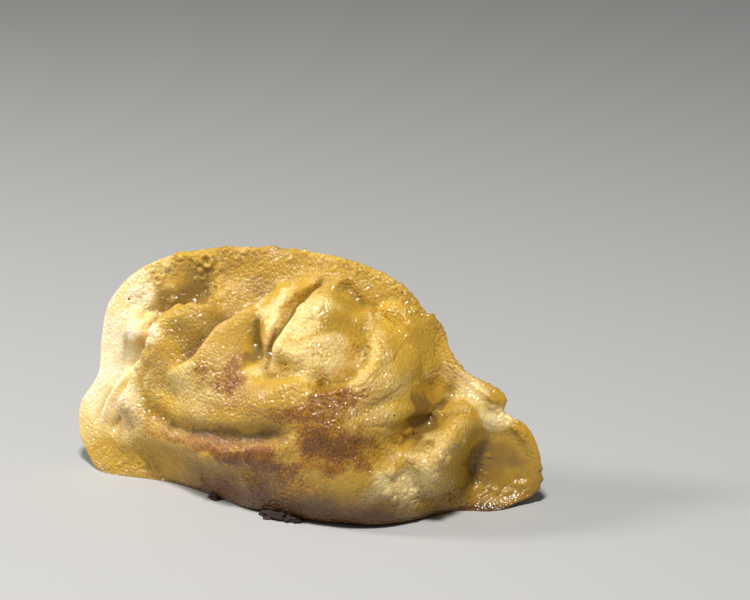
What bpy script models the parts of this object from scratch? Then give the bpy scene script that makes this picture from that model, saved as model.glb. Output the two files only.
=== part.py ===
# A pan-fried gyoza: one round wrapper folded over a filling and pleated along its front.
# Sizes are in millimetres and are scaled to metres at the end.
# +X runs along the length, the pleated belly faces -Y, and +Z is up from the flat seared base.

import math
from collections import namedtuple

import bmesh
import bpy
import numpy as np
from mathutils import Matrix

MM = 0.001
TINY = 1e-6
TRIANGLES = 10500
GRID_ACROSS = 240
GRID_UP = 190
RIM_STEPS = 4
SMOOTH_ROUNDS = 4

# The filled pocket and the sealed edge
BELLY_CENTRE = (3.0, 13.0)
BELLY_FRONT = 14.4
BELLY_BACK = 10.5
EDGE_HALF = 1.1
SEAL_WIDTH = 5.0
SEAL_SOFT = 1.3

# The crescent's bend, its lean to the back and its seared foot
BEND_RADIUS = 116.0
BEND_MIDDLE = 4.0
LEAN = math.radians(16.5)
SET_BACK = 4.0
SEAR_ROUND = 0.9
SEAR_CUT = 0.06

# The half-moon outline as (angle in degrees, radius) about the belly's centre. The underside is level.
OUTLINE = (
    (0, 28.2), (5, 25.0), (10, 24.6), (25, 21.0), (38, 20.4), (50, 22.2), (58, 22.2), (70, 24.0),
    (85, 25.8), (100, 27.7), (115, 30.5), (128, 34.5), (140, 39.4), (152, 45.0), (162, 46.9),
    (170, 46.2), (177, 45.0), (184, 47.2), (190, 47.0), (196, 45.0), (205, 43.5), (230, 42.0),
    (270, 40.0), (300, 34.0), (322, 28.8), (333, 29.6), (341, 32.2), (352, 30.4),
)
UNDERSIDE_DEPTH = 20.0
UNDERSIDE_CORNER = 9.0
UNDERSIDE_TURN = 11.0
UNDERSIDE_POWER = 3.8

# A fold is a ridge (height > 0) or a crease (height < 0) along a path on the wrapper.
# left and right are its widths on either side of the path, and lean pushes it to its left.
Fold = namedtuple("Fold", "name path height left right lean fade", defaults=(0.0, 0.25))
# A swell is a plump mound (height > 0) or a hollow (height < 0), turned by an angle in degrees.
Swell = namedtuple("Swell", "name centre radii turn height power", defaults=(1.5,))

FIRST_PLEAT = (
    (-34.4, 8), (-33.2, 12.6), (-31.2, 16.6), (-28.4, 20.2), (-26.7, 23), (-26.0, 25.8), (-24.2, 27.8),
    (-16.5, 29.2),
)
SECOND_PLEAT = (
    (-8.2, 36), (-9.8, 31.6), (-13.4, 28.4), (-15.9, 26.2), (-17.0, 23.4), (-19.4, 19.8), (-25, 16.4),
)
SECOND_VALLEY = ((-11.0, 35.5), (-12.4, 32.0), (-15.6, 29.6), (-18.4, 26.6), (-19.6, 23), (-23.0, 18.8))
THIRD_CREASE = ((-11.0, 31.0), (-10.7, 28.4), (-10.4, 25.6), (-9.9, 23.2), (-9.0, 21.0), (-8.0, 18.8))
THIRD_PLEAT = ((-2.6, 37.4), (-3.9, 34.8), (-5.6, 32.4), (-6.5, 30.2), (-7.1, 28.0), (-8.0, 25.8), (-8.8, 23.6))
FOURTH_SLIT = (
    (-1.4, 36.6), (-2.8, 34.8), (-4.5, 32.6), (-5.5, 30.6), (-6.0, 28.2), (-6.8, 26), (-7.5, 24), (-7.9, 22.2),
    (-7.5, 20.4), (-5.0, 20.0), (-3.2, 21.2),
)
UNDER_RIGHT_LOBE = ((-1.6, 20.0), (0.6, 19.2), (2.6, 19.6), (4.4, 20.8), (5.8, 22.8), (6.1, 25.0), (5.6, 26.8))
BELLY_LIP = (
    (-10.4, 17.6), (-7.6, 17.2), (-4.6, 18.6), (-2.2, 18.9), (0.4, 17.9), (2.9, 18.2), (5.2, 19.6), (6.9, 22.0),
    (7.2, 25.0), (6.6, 27.6), (7.2, 30.4),
)
LOBE_WRINKLE = ((-3.0, 20.6), (-2.3, 23.2), (-1.2, 24.8), (1.0, 25.6), (3.2, 25.0))
FIFTH_ARCH = ((15.8, 28.8), (13.4, 30.6), (10.8, 31.9), (8.4, 31.5), (6.8, 29.6))
FIFTH_WALL = ((7.8, 31.0), (7.8, 27.6), (7.1, 24.4), (6.8, 20.4), (5.4, 16.6))
LEFT_LOBE = ((-6.2, 21.2), (-5.4, 24.6), (-4.2, 28.4), (-2.4, 32.0), (-0.8, 35.0))
LONG_VALLEY = (
    (18.6, 26.0), (18.2, 21.6), (17.6, 17.6), (16.2, 14.2), (14.0, 11.9), (11.8, 10.2), (9.2, 8.8), (6.4, 7.8),
)
LONG_RIDGE = ((24.2, 18.2), (22.2, 16.0), (19.9, 13.4), (17.9, 10.9), (16.3, 8.6), (15.6, 6.0), (15.8, 2.0))
BELLY_CREASE = (
    (-31.0, 16.0), (-29.2, 13.0), (-24.4, 10.4), (-18.0, 9.8), (-11.2, 10.2), (-5.3, 11.2), (1.0, 13.8),
)

FRONT_FOLDS = (
    Fold("first pleat", FIRST_PLEAT, 3.1, 0.9, 4.4, 0.7, 0.15),
    Fold("second pleat", SECOND_PLEAT, 2.3, 4.2, 1.0, -0.7, 0.2),
    Fold("second valley", SECOND_VALLEY, -1.5, 1.6, 2.4),
    Fold("third crease", THIRD_CREASE, -2.8, 0.9, 2.2, 0, 0.5),
    Fold("third pleat", THIRD_PLEAT, 1.9, 0.6, 2.6),
    Fold("fourth slit", FOURTH_SLIT, -1.7, 0.6, 0.8),
    Fold("under right lobe", UNDER_RIGHT_LOBE, -1.7, 2.2, 0.8),
    Fold("belly lip", BELLY_LIP, 1.2, 0.9, 2.6, 0, 0.1),
    Fold("lobe wrinkle", LOBE_WRINKLE, 0.5, 0.6, 2.4),
    Fold("fourth shoulder", ((0.8, 36.0), (2.2, 34.2), (3.8, 32.4), (5.2, 30.4)), -1.3, 1.0, 1.6),
    Fold("left lobe", LEFT_LOBE, 3.0, 1.3, 4.8, 0.5, 0.2),
    Fold("fifth arch", FIFTH_ARCH, 1.4, 2.4, 0.9),
    Fold("fifth wall", FIFTH_WALL, 0.6, 2.6, 1.2),
    Fold("long valley", LONG_VALLEY, -4.0, 1.3, 3.6, 0, 0.4),
    Fold("long ridge", LONG_RIDGE, 3.6, 3.0, 2.0, 0, 0.3),
    Fold("end pocket wall", ((22.2, 12.4), (21.2, 10.2), (20.6, 7.4), (20.4, 3)), 0.5, 0.9, 2.0),
    Fold("end pocket floor", ((20, 2.2), (25, 2.6), (31, 3.4)), 1.0, 1.4, 1.6),
    Fold("belly crease", BELLY_CREASE, -1.9, 1.5, 1.5),
    Fold("belly crease lip", ((-33, 6.0), (-22, 6.2), (-12, 6.8), (-2, 9.0)), 0.7, 2.2, 2.2),
    Fold("left end crease", ((-36.4, 20), (-38.4, 13.5), (-39.4, 5)), -2.2, 0.8, 1.0),
    Fold("left end second crease", ((-31.4, 18.4), (-33.2, 13.4), (-35.2, 9.2), (-37.0, 5.4)), -1.8, 0.9, 0.9),
    Fold("left end finger", ((-33.8, 18.2), (-36.3, 13.9), (-38.0, 10.2), (-38.9, 5.4)), 1.7, 1.0, 1.0),
    Fold("curl", ((22.0, 20.6), (24.8, 18.8), (27.0, 16.8), (28.4, 14.4)), 0.9, 1.5, 1.6),
    Fold("under curl", ((23.6, 15.6), (25.8, 15.4), (27.8, 14.0)), -0.3, 1.3, 1.3),
    Fold("second curl", ((28.4, 14.8), (30.0, 12.6), (31.0, 10.0)), 0.8, 1.4, 1.4),
)

FRONT_SWELLS = (
    Swell("left pocket", (-29.0, 31), (11, 6.6), 34, -4.0, 1.8),
    Swell("knob in left pocket", (-33.6, 24.4), (4.2, 3.8), 0, 3.0, 1.6),
    Swell("first pleat", (-21, 23), (9, 7.5), -20, 1.2, 1.6),
    Swell("belly", (-8, 15), (26, 8.0), 3, 1.0, 1.6),
    Swell("low belly", (-8, 11), (24, 8), 3, 1.6),
    Swell("left foot", (-23, 0), (14, 9), 0, -2.6, 1.5),
    Swell("right foot", (9, 2), (15, 9), 0, 2.4, 1.5),
    Swell("fourth left lobe", (-2.8, 27.4), (8.6, 5.0), 63, 1.2, 1.6),
    Swell("fourth right lobe", (1.6, 22.8), (7.0, 5.6), 24, 2.2, 1.7),
    Swell("fourth top", (1.2, 31.6), (6.6, 6.4), -20, 1.6, 1.7),
    Swell("fifth pleat", (12.0, 22.4), (7.6, 12.4), 6, 3.7, 1.7),
    Swell("crinkled knob", (5.2, 29.3), (1.7, 1.9), 0, 0.9, 1.2),
    Swell("fourth middle", (1.8, 28.2), (6.0, 5.6), 0, 1.7, 1.7),
    Swell("end pocket", (25.6, 6.4), (7.4, 7.4), 12, -4.5, 1.8),
    Swell("square wrinkle", (11.0, 7.2), (2.2, 1.6), 40, 0.8),
    Swell("dough bump", (-20.6, 35.4), (2.2, 2.6), -20, 0.7, 1.0),
)

BACK_FOLDS = (
    Fold("back dent", ((-20, 34), (-17, 27), (-18, 19)), -1.0, 3.2, 3.2),
    Fold("back ridge", ((4, 37), (5, 29), (2, 20)), 0.7, 4.0, 4.0),
    Fold("back right dent", ((15, 28), (16, 20), (13, 11)), -0.9, 3.0, 3.4),
    Fold("back crease", ((-31, 10), (-18, 7.5), (-4, 9)), -0.8, 1.8, 1.8),
)

BACK_SWELLS = (
    Swell("back left swell", (-26, 22), (10, 9), 10, 1.0),
    Swell("back belly", (-3, 17), (20, 8), 0, 0.9),
    Swell("back end hollow", (25, 9), (6, 7), 10, -1.2),
)

# Slow waves that keep the dough uneven: (waves per mm along u, along v, phase, height)
WAVES = (
    (0.21, 0.05, 0.4, 0.22), (0.09, 0.31, 1.9, 0.20), (0.37, -0.23, 3.1, 0.12), (-0.16, 0.42, 5.0, 0.12),
    (0.61, 0.33, 2.2, 0.06), (-0.52, 0.71, 0.9, 0.06),
)
# Waves of the whole rim: (waves per turn, phase, height), from this share of the way out
RIM_WAVES = ((6, 0.3, 0.5), (11, 2.0, 0.4), (17, 4.1, 0.2))
RIM_WAVES_FROM = 0.6

# How softly a wide fold follows the bends of its path, how quickly it ends, and how far out it is worked out
PATH_BLEND = 0.2
PATH_NEAR = 0.05
END_ROUND = 2.0
FOLD_REACH = 2.5
# Folds stand out along the surface's normal, pulled this much towards straight out of the face
FACE_PULL = 1.4
# Towards the rim they fade out, and a hollow stops short of the other side of the wrapper
CALM_FROM = 0.88
THINNEST_HALF = 0.5
FRONT_REACH = 1.3
BACK_REACH = 0.4
LIMIT_SOFT = 0.4


def smooth(x, low, high):
    """Rise from 0 at low to 1 at high with level ends."""
    t = np.clip((x - low) / (high - low), 0, 1)
    return t * t * (3 - 2 * t)


def moon_radius(angle):
    """The half-moon's radius at each angle, as a smooth closed curve through the outline's points."""
    known = np.array(OUTLINE, float)
    at = np.concatenate([known[-2:, 0] - 360, known[:, 0], known[:3, 0] + 360])
    far = np.concatenate([known[-2:, 1], known[:, 1], known[:3, 1]])
    degrees = np.degrees(np.mod(angle, 2 * math.pi))
    i = np.clip(np.searchsorted(at, degrees, side="right") - 1, 1, len(at) - 3)
    span = at[i + 1] - at[i]
    t = (degrees - at[i]) / span
    slope_in = (far[i + 1] - far[i - 1]) / (at[i + 1] - at[i - 1]) * span
    slope_out = (far[i + 2] - far[i]) / (at[i + 2] - at[i]) * span
    rise = t * t * (3 - 2 * t)
    radius = far[i] * (1 - rise) + far[i + 1] * rise
    return radius + slope_in * t * (1 - t) ** 2 - slope_out * t * t * (1 - t)


def half_moon(cells):
    """The folded wrapper before pleating: (u, v, w) for each cell, and how near the rim each is."""
    a, b, side = cells.T
    x = a * np.sqrt(1 - b * b / 2)
    y = b * np.sqrt(1 - a * a / 2)
    far = np.minimum(np.hypot(x, y), 1)
    angle = np.arctan2(y, x)
    moon = moon_radius(angle) - EDGE_HALF
    below = np.maximum(-np.sin(angle), TINY) / UNDERSIDE_DEPTH
    edge = (moon**-UNDERSIDE_CORNER + below**UNDERSIDE_CORNER) ** (-1 / UNDERSIDE_CORNER)
    rim_turn = math.pi / 2 * side
    reach = far * edge + EDGE_HALF * np.where(far > 1 - TINY, np.cos(rim_turn), 0)
    u = BELLY_CENTRE[0] + reach * np.cos(angle)
    v = BELLY_CENTRE[1] + reach * np.sin(angle)
    seal = SEAL_WIDTH / moon
    past_seal = np.clip((1 - far * edge / moon - seal) / (1 - seal), 0, 1)
    swell = np.sin(math.pi / 2 * past_seal) ** SEAL_SOFT
    drop = np.clip((UNDERSIDE_TURN - v) / (UNDERSIDE_TURN - BELLY_CENTRE[1] + UNDERSIDE_DEPTH), 0, 1)
    full = np.where(side > 0, BELLY_FRONT, BELLY_BACK) - EDGE_HALF
    thick = full * swell * np.sqrt(1 - drop**UNDERSIDE_POWER)
    w = EDGE_HALF * np.sin(rim_turn) + np.sign(side) * thick
    return np.stack([u, v, w], -1), far


def curve_through(points, steps=8):
    """A smooth polyline through the points of a path."""
    known = np.array(points, float)
    known = np.vstack([2 * known[0] - known[1], known, 2 * known[-1] - known[-2]])
    t = np.linspace(0, 1, steps, endpoint=False)[:, None]
    pieces = []
    for p0, p1, p2, p3 in zip(known, known[1:], known[2:], known[3:]):
        bend = 2 * p0 - 5 * p1 + 4 * p2 - p3
        twist = 3 * p1 - p0 - 3 * p2 + p3
        pieces.append(p1 + 0.5 * (t * (p2 - p0) + t * t * bend + t**3 * twist))
    return np.vstack([*pieces, known[-2:-1]])


def beside(u, v, path):
    """Distance to the left (> 0) of a path and beyond its ends, the share passed, and the way to its left."""
    line = curve_through(path)
    step = np.diff(line, axis=0)
    length = np.hypot(*step.T)
    ahead = step / length[:, None]
    left = np.stack([-ahead[:, 1], ahead[:, 0]], -1)
    passed = np.cumsum(length) - length
    away = np.stack([u, v], -1)[:, None] - line[:-1]
    ran = (away * ahead).sum(-1)
    along = np.clip(ran, 0, length)
    gap = np.linalg.norm(away - along[..., None] * ahead, axis=-1)
    nearest = gap.argmin(1)[:, None]
    least = np.take_along_axis(gap, nearest, 1)
    weight = np.exp(-(gap - least) / (PATH_BLEND * (least + PATH_NEAR)))
    weight /= weight.sum(1, keepdims=True)
    offset = (weight * (away * left).sum(-1)).sum(1)
    past = np.take_along_axis(ran - along, nearest, 1)[:, 0]
    first_or_last = np.isin(nearest[:, 0], (0, len(length) - 1))
    share = np.take_along_axis(passed + along, nearest, 1)[:, 0] / length.sum()
    return offset, np.where(first_or_last, np.abs(past), 0), share, weight @ left


def pleat(u, v, folds, swells):
    """The height of all folds and swells at each point, and how far they lean in u and v."""
    height = np.zeros(u.shape)
    shift = np.zeros(u.shape + (2,))
    for fold in folds:
        path = np.array(fold.path)
        reach = FOLD_REACH * max(fold.left, fold.right)
        low, high = path.min(0) - reach, path.max(0) + reach
        near = (u > low[0]) & (u < high[0]) & (v > low[1]) & (v < high[1])
        offset, beyond, share, left = beside(u[near], v[near], fold.path)
        width = np.where(offset > 0, fold.left, fold.right)
        profile = np.exp(-((offset / width) ** 2) - (beyond / END_ROUND) ** 2)
        profile *= smooth(share, 0, fold.fade) * smooth(1 - share, 0, fold.fade)
        height[near] += fold.height * profile
        shift[near] += (fold.lean * profile)[..., None] * left
    for swell in swells:
        turn = math.radians(swell.turn)
        away_u, away_v = u - swell.centre[0], v - swell.centre[1]
        along = (away_u * math.cos(turn) + away_v * math.sin(turn)) / swell.radii[0]
        aside = (away_v * math.cos(turn) - away_u * math.sin(turn)) / swell.radii[1]
        height += swell.height * np.clip(1 - along**2 - aside**2, 0, 1) ** swell.power
    for along_u, along_v, phase, size in WAVES:
        height += size * np.sin(along_u * u + along_v * v + phase)
    return height, shift


def pleated(points, normals, far, front):
    """The half-moon with its folds and waves: front tells the pleated face from the back."""
    u, v, w = points.T
    height = np.zeros(len(points))
    shift = np.zeros((len(points), 2))
    for face, folds, swells in ((front, FRONT_FOLDS, FRONT_SWELLS), (~front, BACK_FOLDS, BACK_SWELLS)):
        height[face], shift[face] = pleat(u[face], v[face], folds, swells)
    spare = np.abs(w) * np.where(front, FRONT_REACH, BACK_REACH) - THINNEST_HALF * front
    height = LIMIT_SOFT * np.logaddexp(0, (height + spare) / LIMIT_SOFT) - spare
    calm = 1 - smooth(far, CALM_FROM, 1.0)
    outward = normals.copy()
    outward[:, 2] += np.where(front, FACE_PULL, -FACE_PULL)
    outward /= np.linalg.norm(outward, axis=1, keepdims=True)
    result = points + outward * (height * calm)[:, None]
    result[:, :2] += shift * calm[:, None]
    turn = np.arctan2(v - BELLY_CENTRE[1], u - BELLY_CENTRE[0])
    for waves, phase, size in RIM_WAVES:
        result[:, 2] += size * np.sin(waves * turn + phase) * smooth(far, RIM_WAVES_FROM, 1.0)
    return result


def stand(points):
    """Lean the half-moon back, bend it into a crescent and settle it on its flat base."""
    u, v, w = points.T
    y = -w * math.cos(LEAN) + v * math.sin(LEAN) - SET_BACK
    z = v * math.cos(LEAN) + w * math.sin(LEAN)
    middle = BEND_RADIUS + BEND_MIDDLE
    angle = u / BEND_RADIUS
    z = SEAR_ROUND * np.logaddexp(0, z / SEAR_ROUND) - SEAR_CUT
    return np.stack([(middle - y) * np.sin(angle), middle - (middle - y) * np.cos(angle), z], -1)


def sandwich(across, up, rim_steps):
    """Two square sheets joined round their edges: x and y run from -1 to 1, z is 1 on the front sheet."""
    bm = bmesh.new()
    for side in (1, -1):
        level = Matrix.Translation((0, 0, side))
        bmesh.ops.create_grid(bm, x_segments=across, y_segments=up, size=1, matrix=level)
    bmesh.ops.bridge_loops(bm, edges=[edge for edge in bm.edges if edge.is_boundary])
    walls = [edge for edge in bm.edges if abs(edge.verts[0].co.z - edge.verts[1].co.z) > 1]
    bmesh.ops.subdivide_edges(bm, edges=walls, cuts=rim_steps - 1, use_grid_fill=True)
    bmesh.ops.recalc_face_normals(bm, faces=bm.faces[:])
    return bm


def wrapper(across, up):
    """The whole pleated wrapper as a closed mesh, standing but not yet cut level."""
    bm = sandwich(across, up, RIM_STEPS)
    cells = np.array([vertex.co for vertex in bm.verts])
    moon, far = half_moon(cells)
    for vertex, place in zip(bm.verts, moon):
        vertex.co = place
    bm.normal_update()
    normals = np.array([vertex.normal for vertex in bm.verts])
    for vertex, place in zip(bm.verts, stand(pleated(moon, normals, far, cells[:, 2] > 0))):
        vertex.co = place
    every_way = {"use_axis_x": True, "use_axis_y": True, "use_axis_z": True}
    for _ in range(SMOOTH_ROUNDS):
        bmesh.ops.smooth_vert(bm, verts=bm.verts[:], factor=0.5, **every_way)
    mesh = bpy.data.meshes.new("wrapper")
    bm.to_mesh(mesh)
    bm.free()
    return mesh


def thinned(mesh, triangles):
    """The mesh with its flatter parts simplified to about so many triangles."""
    helper = bpy.data.objects.new("dense wrapper", mesh)
    bpy.context.scene.collection.objects.link(helper)
    thin = helper.modifiers.new("thin", "DECIMATE")
    thin.ratio = triangles / (2 * len(mesh.polygons))
    bpy.context.view_layer.update()
    graph = bpy.context.evaluated_depsgraph_get()
    result = bpy.data.meshes.new_from_object(helper.evaluated_get(graph))
    bpy.data.objects.remove(helper)
    return result


def cut_base(mesh):
    """Cut the wrapper level at the ground and close it with a flat base."""
    bm = bmesh.new()
    bm.from_mesh(mesh)
    everything = bm.verts[:] + bm.edges[:] + bm.faces[:]
    bmesh.ops.bisect_plane(
        bm, geom=everything, dist=TINY, plane_co=(0, 0, 0), plane_no=(0, 0, 1), clear_inner=True
    )
    open_edges = [edge for edge in bm.edges if edge.is_boundary]
    bmesh.ops.holes_fill(bm, edges=open_edges, sides=0)
    bmesh.ops.triangulate(bm, faces=bm.faces[:])
    bmesh.ops.recalc_face_normals(bm, faces=bm.faces[:])
    bm.to_mesh(mesh)
    bm.free()


def centred(mesh):
    """Move the mesh so that its origin is the middle of its base, and scale it to metres."""
    points = np.empty(3 * len(mesh.vertices))
    mesh.vertices.foreach_get("co", points)
    points = points.reshape(-1, 3)
    low, high = points.min(0), points.max(0)
    points -= [(low[0] + high[0]) / 2, (low[1] + high[1]) / 2, low[2]]
    mesh.vertices.foreach_set("co", (points * MM).ravel())
    mesh.update()


def fried_dough():
    """Golden fried dough."""
    material = bpy.data.materials.new("fried dough")
    material.use_nodes = True
    shader = material.node_tree.nodes["Principled BSDF"]
    shader.inputs["Base Color"].default_value = (0.72, 0.42, 0.12, 1)
    shader.inputs["Roughness"].default_value = 0.42
    return material


for old in list(bpy.data.objects):
    bpy.data.objects.remove(old)

dense = wrapper(GRID_ACROSS, GRID_UP)
gyoza_mesh = thinned(dense, TRIANGLES)
cut_base(gyoza_mesh)
centred(gyoza_mesh)
gyoza_mesh.materials.append(fried_dough())
gyoza = bpy.data.objects.new("gyoza", gyoza_mesh)
bpy.context.scene.collection.objects.link(gyoza)
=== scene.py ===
# %% [markdown]
# # A pan-fried gyoza
# A gyoza is one round sheet of wheat dough, folded over a filling and pleated along its front. Frying
# gives it a golden, blistered and oily skin. This lesson loads the solid that the physics uses, models
# the skin once more with far finer detail in the same place, and then gives it its finish.

# %% Load the fixed frame
import json
import math
import random
from collections import namedtuple

import bmesh
import bpy
import numpy as np
from mathutils import Matrix, Vector, kdtree, noise


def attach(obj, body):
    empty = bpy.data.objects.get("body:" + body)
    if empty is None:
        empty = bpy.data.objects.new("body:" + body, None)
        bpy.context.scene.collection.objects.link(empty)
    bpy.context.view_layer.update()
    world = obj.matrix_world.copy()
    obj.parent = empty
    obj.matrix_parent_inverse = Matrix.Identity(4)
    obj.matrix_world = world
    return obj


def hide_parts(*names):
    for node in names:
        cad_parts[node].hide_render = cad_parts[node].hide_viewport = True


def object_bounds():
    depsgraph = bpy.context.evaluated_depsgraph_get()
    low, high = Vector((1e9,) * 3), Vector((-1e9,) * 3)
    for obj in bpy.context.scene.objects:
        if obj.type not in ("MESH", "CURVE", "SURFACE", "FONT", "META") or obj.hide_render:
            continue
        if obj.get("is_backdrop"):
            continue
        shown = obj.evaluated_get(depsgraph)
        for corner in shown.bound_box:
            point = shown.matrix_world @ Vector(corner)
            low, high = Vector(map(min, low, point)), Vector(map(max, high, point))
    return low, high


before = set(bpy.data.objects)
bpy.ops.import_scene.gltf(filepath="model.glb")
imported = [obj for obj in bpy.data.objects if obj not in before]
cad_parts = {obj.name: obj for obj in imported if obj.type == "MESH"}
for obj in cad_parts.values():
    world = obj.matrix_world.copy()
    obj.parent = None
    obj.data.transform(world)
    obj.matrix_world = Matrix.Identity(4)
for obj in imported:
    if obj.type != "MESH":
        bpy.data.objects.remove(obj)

cad_low, cad_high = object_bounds()
MM = 0.001
print("solid in mm:", [round(side / MM, 2) for side in cad_high - cad_low])

# %% [markdown]
# ## Camera
# The view is from a little to the right and from above, with a long lens. A camera can be dragged into
# place by eye, but here two angles and a distance say where it stands, because angles are easy to check
# against the dumpling's outline. It is aimed at a point beside and above the dumpling's foot instead of
# being shifted, because a shift would move the picture in every other view too.

# %% Angles and new objects


def direction(azimuth, elevation):
    """The way from the dumpling to something that stands at these angles in degrees."""
    turn, height = math.radians(azimuth), math.radians(elevation)
    return Vector((math.sin(turn) * math.cos(height), -math.cos(turn) * math.cos(height), math.sin(height)))


def aimed(obj, target):
    """Turn an object's own -Z towards a point."""
    obj.rotation_euler = (obj.location - target).to_track_quat("Z", "Y").to_euler()


def put(name, data):
    """A new object in the scene."""
    obj = bpy.data.objects.new(name, data)
    bpy.context.scene.collection.objects.link(obj)
    return obj


print("straight in front of the belly:", tuple(direction(0, 0)))

# %% Camera
PHOTO_WIDTH = 750
AZIMUTH = 13
ELEVATION = 22
DISTANCE = 0.450
PIXELS_PER_MM = 6.1
SENSOR = 36.0
NEAREST, FURTHEST = 0.02, 20
# Where the wrapper's own coordinates start in the frame
FIT_ORIGIN = Vector((5.154, 2.267, 0)) * MM
AIM_RIGHT = 7.33 * MM
AIM_UP = 31.3 * MM

back_to_camera = direction(AZIMUTH, ELEVATION)
picture_right = direction(AZIMUTH + 90, 0)
picture_up = back_to_camera.cross(picture_right)
camera = put("camera", bpy.data.cameras.new("camera"))
camera.data.sensor_width = SENSOR
camera.data.lens = PIXELS_PER_MM / MM * DISTANCE / PHOTO_WIDTH * SENSOR
camera.data.clip_start = NEAREST
camera.data.clip_end = FURTHEST
camera.location = FIT_ORIGIN + back_to_camera * DISTANCE
aimed(camera, FIT_ORIGIN + picture_right * AIM_RIGHT + picture_up * AIM_UP)
bpy.context.scene.camera = camera
print("lens mm:", round(camera.data.lens, 1))

# %% [markdown]
# ## Floor
# The dumpling stands on a plain pale table that isn't part of it. One plane does, made so large that
# its edges lie far off. It is marked as a backdrop, so that the dumpling's box leaves it out.

# %% Floor
FLOOR_SIZE = 6
FLOOR_COLOUR = (0.46, 0.46, 0.455, 1)
FLOOR_ROUGHNESS = 0.8


def shader_of(material):
    """The material's Principled BSDF."""
    material.use_nodes = True
    return material.node_tree.nodes["Principled BSDF"]


bpy.ops.mesh.primitive_plane_add(size=FLOOR_SIZE)
floor = bpy.context.object
floor.name = "floor"
floor_paint = bpy.data.materials.new("pale table")
shader_of(floor_paint).inputs["Base Color"].default_value = FLOOR_COLOUR
shader_of(floor_paint).inputs["Roughness"].default_value = FLOOR_ROUGHNESS
floor.data.materials.append(floor_paint)
floor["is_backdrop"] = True
print("floor in m:", tuple(floor.dimensions))

# %% [markdown]
# ## Light
# Food is lit so that its relief shows. A large lamp would be the usual soft choice, but oil glints only
# where it mirrors something small and bright. So both lamps are small: the key hangs high over the
# front and a weaker one stands lower on the left. A dim white sky keeps the shadows soft and open.

# %% Sky and lamps
SKY_COLOUR = (1.0, 1.0, 1.0, 1)
SKY_STRENGTH = 0.11
# Angles in degrees, distance and size in m, power in W
Lamp = namedtuple("Lamp", "name azimuth elevation distance size power colour")
LAMPS = (
    Lamp("key", 5, 68, 0.50, 0.08, 2.8, (1.0, 0.99, 0.97)),
    Lamp("side", -84, 33, 0.50, 0.08, 1.4, (1.0, 0.97, 0.92)),
)

sky = bpy.data.worlds.new("sky")
sky.use_nodes = True
sky.node_tree.nodes["Background"].inputs["Color"].default_value = SKY_COLOUR
sky.node_tree.nodes["Background"].inputs["Strength"].default_value = SKY_STRENGTH
bpy.context.scene.world = sky
bpy.context.scene.view_settings.view_transform = "Standard"

middle = (cad_low + cad_high) / 2
for lamp in LAMPS:
    light = bpy.data.lights.new(lamp.name, "AREA")
    light.size = lamp.size
    light.energy = lamp.power
    light.color = lamp.colour
    stand = put(lamp.name, light)
    stand.location = middle + direction(lamp.azimuth, lamp.elevation) * lamp.distance
    aimed(stand, middle)
print("lamps:", [lamp.name for lamp in LAMPS])

# %% [markdown]
# ## The half-moon's outline
# The wrapper is described flat first, in millimetres: u runs along the dumpling and v runs up from its
# foot to the sealed edge. Half a circle would be a simple outline, but the ends of a real one are drawn
# out and the thin end curls. So a few radii about the belly's centre give it, joined by a smooth curve.

# %% Outline of the half-moon
BELLY_CENTRE = (3.0, 13.0)
# (angle in degrees, radius) about the belly's centre
OUTLINE = (
    (0, 28.2), (5, 25.0), (11, 25.5), (25, 21.0), (38, 20.4), (50, 22.2), (58, 22.2), (70, 24.0),
    (85, 25.8), (100, 27.7), (115, 30.5), (128, 34.5), (140, 39.4), (152, 45.0), (162, 46.9),
    (170, 46.2), (177, 45.0), (184, 47.2), (190, 47.0), (196, 45.0), (205, 43.5), (230, 42.0),
    (270, 40.0), (300, 34.0), (322, 28.8), (333, 29.6), (341, 32.2), (352, 30.4),
)


def moon_radius(angle):
    """The half-moon's radius at each angle, as a smooth closed curve through the outline's points."""
    known = np.array(OUTLINE, float)
    at = np.concatenate([known[-2:, 0] - 360, known[:, 0], known[:3, 0] + 360])
    far = np.concatenate([known[-2:, 1], known[:, 1], known[:3, 1]])
    degrees = np.degrees(np.mod(angle, 2 * math.pi))
    i = np.clip(np.searchsorted(at, degrees, side="right") - 1, 1, len(at) - 3)
    span = at[i + 1] - at[i]
    t = (degrees - at[i]) / span
    slope_in = (far[i + 1] - far[i - 1]) / (at[i + 1] - at[i - 1]) * span
    slope_out = (far[i + 2] - far[i]) / (at[i + 2] - at[i]) * span
    rise = t * t * (3 - 2 * t)
    radius = far[i] * (1 - rise) + far[i + 1] * rise
    return radius + slope_in * t * (1 - t) ** 2 - slope_out * t * t * (1 - t)


widest = max(radius for _, radius in OUTLINE)
print("points of the outline:", len(OUTLINE), "widest radius in mm:", widest)

# %% [markdown]
# ## The torn end
# The thin end stuck to the pan and tore when the gyoza was lifted. Its edge could be cut with a knife
# tool, but teeth taken off the outline's radius stay closed and clean. They are deepest in the middle
# of the tear and uneven on their two sides.

# %% Torn end
# (first angle, last angle, teeth, depth, where a tooth is shallowest)
TORN_END = (-24.0, -9.0, 4.5, 0.9, 0.35)


def torn(angle):
    """How far the torn teeth of the thin end cut in."""
    first, last, teeth, depth, shallow = TORN_END
    share = (np.degrees(angle) - first) / (last - first)
    tooth = np.abs((share * teeth) % 1 - shallow)
    return depth * tooth * np.clip(4 * share * (1 - share), 0, 1) * ((share > 0) & (share < 1))


print("deepest tear in mm:", round(float(torn(np.radians(np.arange(-25, -8, 0.1))).max()), 2))

# %% [markdown]
# ## Belly and sealed edge
# Inside the outline the dough swells over the filling, more to the front than to the back, and w says
# how far. Along the edge the two layers are pressed together into a thin double rim. A pillow could be
# inflated by simulation, but a sine curve gives the same round belly and a rim of an exact thickness.

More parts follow.
